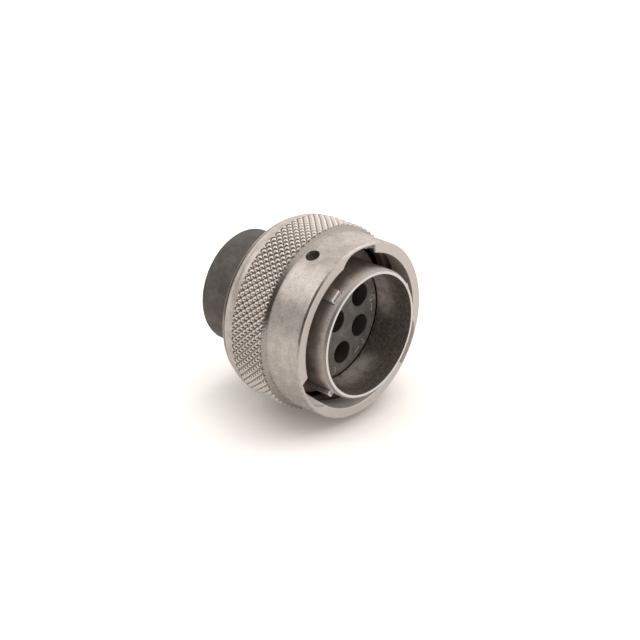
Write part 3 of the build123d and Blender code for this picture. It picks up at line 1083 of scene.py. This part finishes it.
@dataclass
class Insert:
    """Contact insert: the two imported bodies, with raised position letters and arcs on the face."""

    body: str = "plug_body"
    face_z: float = 21.88
    positions: int = 7
    key_angle: float = 90.0
    letters: str = "BCDEFGH"
    centre_letter: str = "A"
    centre_letter_y: float = 2.9
    font_size: float = 1.75
    font_steps: int = 6
    letter_rise: float = 0.16
    letter_radius: float = 8.95
    letter_turn: float = -17.0
    arc_turn: float = -28.5
    arc_span: float = 9.0
    arc_width: float = 0.24
    arc_steps: int = 14
    bead_steps: int = 10

    def dress(self) -> None:
        """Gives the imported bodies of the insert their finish."""
        dress("insert_front", INSERT_HARD)
        dress("insert_rear", INSERT_SOFT)

    def build_letters(self) -> bpy.types.Object:
        """Raises a letter beside each contact position and by the middle one.

        Returns:
            The letters, as one mesh.
        """
        placed = []
        for number, letter in enumerate(self.letters):
            angle = math.radians(self.key_angle + 360 / self.positions * number + self.letter_turn)
            place = Vector((math.cos(angle), math.sin(angle), 0)) * self.letter_radius
            placed.append(self._letter(letter, place, angle - math.pi / 2))
        centre = Vector((0, self.centre_letter_y, 0))
        placed.append(self._letter(self.centre_letter, centre, 0.0))
        bpy.ops.object.select_all(action="DESELECT")
        for one in placed:
            one.select_set(True)
        bpy.context.view_layer.objects.active = placed[0]
        bpy.ops.object.join()
        letters = bpy.context.view_layer.objects.active
        letters.name = letters.data.name = "position_letters"
        letters.data.materials.clear()
        letters.data.materials.append(INSERT_MARKS.material())
        return finish_piece(letters, self.body)

    def _letter(self, letter: str, place: Vector, turn: float) -> bpy.types.Object:
        """Makes one raised letter.

        Args:
            letter: The letter.
            place: Its centre on the face, in millimetres.
            turn: Its turn about the plug's axis, in radians.

        Returns:
            The letter as a mesh object.
        """
        curve = bpy.data.curves.new(f"letter_{letter}", "FONT")
        curve.body = letter
        curve.size = self.font_size
        curve.align_x = "CENTER"
        curve.align_y = "CENTER"
        curve.resolution_u = self.font_steps
        curve.extrude = self.letter_rise
        text = add_object(f"letter_{letter}", curve)
        mesh = bpy.data.meshes.new_from_object(text.evaluated_get(bpy.context.evaluated_depsgraph_get()))
        bpy.data.objects.remove(text)
        lift = Matrix.Translation(place + Vector((0, 0, self.face_z)))
        mesh.transform(Matrix.Scale(MM, 4) @ lift @ Matrix.Rotation(turn, 4, "Z"))
        return add_object(f"letter_{letter}", mesh)

    def build_arcs(self) -> bpy.types.Object:
        """Raises a short guide arc beside each contact position on the circle.

        Returns:
            The arcs, as one mesh.
        """
        tree = GeometryTree("guide_arcs")
        count = tree.size("Count", "NodeSocketInt")
        radius = tree.size("Radius")
        start = tree.size("Start angle")
        sweep = tree.size("Sweep angle")
        width = tree.size("Width")
        face = tree.size("Face height")
        metal = tree.size("Finish", "NodeSocketMaterial")
        arc = tree.node("GeometryNodeCurveArc", {"mode": "RADIUS"}, {
            "Resolution": self.arc_steps, "Radius": radius, "Start Angle": start, "Sweep Angle": sweep,
        })["Curve"]
        profile = tree.node("GeometryNodeCurvePrimitiveCircle", {"mode": "RADIUS"}, {
            "Resolution": self.bead_steps, "Radius": width * 0.5,
        })["Curve"]
        bead = tree.node("GeometryNodeCurveToMesh", inputs={
            "Curve": arc, "Profile Curve": profile, "Fill Caps": True,
        })[0]
        spots = tree.node("GeometryNodePoints", inputs={
            "Count": count, "Position": tree.xyz(0.0, 0.0, face),
        })[0]
        number = tree.node("GeometryNodeInputIndex")[0]
        turn = tree.xyz(0.0, 0.0, number * (2 * math.pi) / count)
        instances = tree.node("GeometryNodeInstanceOnPoints", inputs={
            "Points": spots, "Instance": bead, "Rotation": turn,
        })[0]
        flat = tree.node("GeometryNodeRealizeInstances", inputs={0: instances})[0]
        result = tree.node("GeometryNodeSetMaterial", inputs={0: flat, "Material": metal})[0]
        first = self.key_angle + self.arc_turn - self.arc_span / 2
        arcs = tree.bake("guide_arcs", result, {
            "Count": self.positions,
            "Radius": self.letter_radius * MM,
            "Start angle": math.radians(first),
            "Sweep angle": math.radians(self.arc_span),
            "Width": self.arc_width * MM,
            "Face height": self.face_z * MM,
            "Finish": INSERT_MARKS.material(),
        })
        return finish_piece(arcs, self.body)


@dataclass
class ContactSet:
    """Socket contacts and the thin hoods round their tines."""

    count: int = 8

    def dress(self) -> None:
        """Gives each contact its gold and each hood its steel."""
        for number in range(1, self.count + 1):
            dress(f"socket_contact_{number}", CONTACT_GOLD)
            dress(f"contact_hood_{number}", HOOD_STEEL)


@dataclass
class Retention:
    """Washers, snap ring and wave spring that hold the coupling ring."""

    body: str = "plug_body"
    spring: str = "wave_spring"
    joint: str = "coupling_float"
    seat_z: float = 17.8
    travel: float = 0.5
    nodes: tuple[str, ...] = ("thrust_washer", "retaining_washer", "snap_ring")

    def dress(self) -> None:
        """Gives each piece its rolled steel."""
        for node in self.nodes:
            dress(node, SPRING_STEEL)

    def build_spring(self) -> bpy.types.Object:
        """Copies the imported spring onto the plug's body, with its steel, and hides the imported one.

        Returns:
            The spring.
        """
        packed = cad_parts[self.spring]
        mesh = packed.data.copy()
        mesh.transform(packed.matrix_world)
        mesh.materials.clear()
        mesh.materials.append(SPRING_STEEL.material())
        spring = add_object(f"{self.spring}_sprung", mesh)
        finish_piece(spring, self.body)
        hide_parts(self.spring)
        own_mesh(spring)
        return spring


@dataclass
class Boot:
    """Rubber potting boot behind the shell."""

    def dress(self) -> None:
        """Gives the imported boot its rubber."""
        dress("potting_boot", BOOT_RUBBER)


class Light(Enum):
    """Kinds of rays that the studio answers in different ways."""

    CAMERA = "Is Camera Ray"
    GLOSSY = "Is Glossy Ray"
    TRANSMISSION = "Is Transmission Ray"


@dataclass(frozen=True)
class SoftLamp:
    """A square soft lamp, placed by directions of the photograph's floor."""

    name: str
    right: float
    up: float
    near: float
    distance: float
    width: float
    power: float
    colour: Colour = (1.0, 1.0, 1.0)


@dataclass
class Studio:
    """The photograph's floor, lamps and surroundings: the plug lies on its knurl there."""

    floor_angle: float = 51.7
    rest_radius: float = 16.34
    aim: tuple[float, float, float] = (-1.38, 1.61, 20.04)
    camera_azimuth: float = 107.76
    camera_elevation: float = 36.885
    camera_distance: float = 300.0
    focal_length: float = 101.25
    sensor_width: float = 36.0
    clip_start: float = 0.01
    around: float = 0.72
    gloss: float = 0.98
    top_dimming: float = 0.20
    side_dimming: float = 0.50
    room_dimming: float = 0.90
    floor_reach: float = 3.0
    floor_near: float = 0.11
    shadow_reach: float = 0.015
    shadow_depth: float = 0.74
    bounce: float = 0.13
    seen_glow: float = 0.06
    sky: Colour = (1.0, 0.985, 0.965)
    glow: Colour = (1.0, 0.98, 0.96)
    floor_lit: Colour = (1.53, 1.475, 1.43)
    floor_shaded: Colour = (0.54, 0.49, 0.45)
    floor_unseen: Colour = (0.74, 0.725, 0.71)
    lamps: tuple[SoftLamp, ...] = (
        SoftLamp("key_lamp", right=0.55, up=1.0, near=-0.35, distance=0.9, width=0.9, power=1.45,
                 colour=(1.0, 0.985, 0.96)),
        SoftLamp("fill_lamp", right=-0.9, up=0.75, near=-0.25, distance=1.0, width=0.6, power=0.65),
    )
    up: Vector = field(init=False)
    back: Vector = field(init=False)
    right: Vector = field(init=False)
    near: Vector = field(init=False)

    def __post_init__(self) -> None:
        """Works out the floor's and the camera's directions."""
        turn = math.radians(self.floor_angle)
        azimuth = math.radians(self.camera_azimuth)
        elevation = math.radians(self.camera_elevation)
        self.up = Vector((math.cos(turn), math.sin(turn), 0.0))
        self.back = Vector((
            math.cos(azimuth) * math.cos(elevation),
            math.sin(azimuth) * math.cos(elevation),
            math.sin(elevation),
        ))
        self.right = self.up.cross(self.back).normalized()
        self.near = self.right.cross(self.up)

    def place_camera(self) -> None:
        """Places the camera at the photograph's viewpoint."""
        lens = bpy.data.cameras.new("photo_camera")
        lens.lens = self.focal_length
        lens.sensor_width = self.sensor_width
        lens.clip_start = self.clip_start
        camera = add_object("photo_camera", lens)
        above = self.back.cross(self.right)
        turned = Matrix((self.right, above, self.back)).transposed().to_4x4()
        eye = (Vector(self.aim) + self.back * self.camera_distance) * MM
        camera.matrix_world = Matrix.Translation(eye) @ turned
        bpy.context.scene.camera = camera

    def place_lamps(self) -> None:
        """Places the soft lamps round the plug."""
        centre = Vector((0, 0, self.aim[2])) * MM
        for lamp in self.lamps:
            away = (self.right * lamp.right + self.up * lamp.up + self.near * lamp.near).normalized()
            light = bpy.data.lights.new(lamp.name, "AREA")
            light.shape = "SQUARE"
            light.size = lamp.width
            light.energy = lamp.power
            light.color = lamp.colour
            facing = away.to_track_quat("Z", "Y").to_matrix().to_4x4()
            place = Matrix.Translation(centre + away * lamp.distance)
            add_object(lamp.name, light).matrix_world = place @ facing

    def light_world(self) -> None:
        """Sets plain surroundings: white to the eye, and in gloss dimmer near the camera and on the left."""
        world = bpy.data.worlds.new("studio")
        bpy.context.scene.world = world
        world.use_nodes = True
        world.node_tree.nodes.clear()
        tree = Tree(world.node_tree)
        ray = tree.node("ShaderNodeLightPath")
        heading = tree.node("ShaderNodeTexCoord")["Generated"]
        dim_room = self._share_towards(heading, self.near).ease(low=0.38, high=0.78) * self.room_dimming
        dim_side = self._share_towards(heading, -self.right).ease(low=0.45, high=0.98) * self.side_dimming
        dim_top = self._share_towards(heading, self.up).ease(low=0.1, high=0.8) * self.top_dimming
        gloss = (1.0 - dim_room) * (1.0 - dim_side) * (self.gloss - dim_top)
        seen = self._seen(ray)
        plain = gloss * ray[Light.GLOSSY.value] + (1.0 - ray[Light.GLOSSY.value]) * self.around
        strength = seen + plain * (1.0 - seen)
        background = tree.node("ShaderNodeBackground", inputs={0: (*self.sky, 1.0), 1: strength})
        tree.node("ShaderNodeOutputWorld", inputs={0: background[0]})

    @staticmethod
    def _share_towards(heading: Link, direction: Vector) -> Link:
        """How far a heading points in a direction, from -1 to 1."""
        pair = {0: heading, 1: direction}
        return heading.tree.node("ShaderNodeVectorMath", {"operation": "DOT_PRODUCT"}, pair)["Value"]

    @staticmethod
    def _seen(ray: Step) -> Link:
        """Whether a ray comes from the eye, straight or through something clear."""
        return ray[Light.CAMERA.value].math("MAXIMUM", ray[Light.TRANSMISSION.value])

    def lay_floor(self) -> None:
        """Lays the pale floor that the plug rests on."""
        reach = self.floor_reach
        contact = self.up * -self.rest_radius * MM
        sides = ((-reach, -reach), (-reach, self.floor_near), (reach, self.floor_near), (reach, -reach))
        outline = [tuple(contact + self.right * across + self.near * along) for across, along in sides]
        mesh = bpy.data.meshes.new("floor")
        mesh.from_pydata(outline, [], [(0, 1, 2, 3)])
        mesh.materials.append(self._floor_material())
        add_object("floor", mesh)

    def _floor_material(self) -> bpy.types.Material:
        """A matt pale floor that is white to the eye where it is lit, and clear from behind.

        Returns:
            The material.
        """
        material, tree = new_material("pale_floor")
        seen = self._seen(tree.node("ShaderNodeLightPath"))
        reach = {"Distance": self.shadow_reach}
        # Darker near the plug to the eye: painted contact shadow over the lamps' own shadow.
        open_sky = tree.node("ShaderNodeAmbientOcclusion", {"samples": SKY_SAMPLES}, reach)
        shadow = 1.0 - open_sky["AO"].ease(low=0.10, high=0.90)
        pale = tree.blend(shadow * self.shadow_depth, self.floor_lit, self.floor_shaded)
        matt = tree.node("ShaderNodeBsdfDiffuse", inputs={"Color": tree.blend(seen, self.floor_unseen, pale)})
        lift = tree.node("ShaderNodeEmission", inputs={
            "Color": (*self.glow, 1.0), "Strength": seen * (self.seen_glow - self.bounce) + self.bounce,
        })
        lit = tree.node("ShaderNodeAddShader", inputs={0: matt[0], 1: lift[0]})
        clear = tree.node("ShaderNodeBsdfTransparent")
        behind = tree.node("ShaderNodeNewGeometry")["Backfacing"]
        shader = tree.node("ShaderNodeMixShader", inputs={0: behind, 1: lit[0], 2: clear[0]})
        tree.node("ShaderNodeOutputMaterial", inputs={"Surface": shader[0]})
        return material

    def build(self) -> None:
        """Builds the whole studio."""
        self.place_camera()
        self.place_lamps()
        self.light_world()
        self.lay_floor()
        bpy.context.scene.view_settings.view_transform = "Standard"
        log.info("studio ready, camera %.0f mm from the plug", self.camera_distance)


def main() -> None:
    """Builds and dresses the plug, then its studio."""
    logging.basicConfig(level=logging.INFO, format="%(name)s: %(message)s")
    ring = CouplingRing()
    ring.dress()
    ring.build_knurl()
    Shell().dress()
    insert = Insert()
    insert.dress()
    insert.build_letters()
    insert.build_arcs()
    ContactSet().dress()
    retention = Retention()
    retention.dress()
    retention.build_spring()
    Boot().dress()
    Studio().build()


if __name__ == "__main__":
    main()
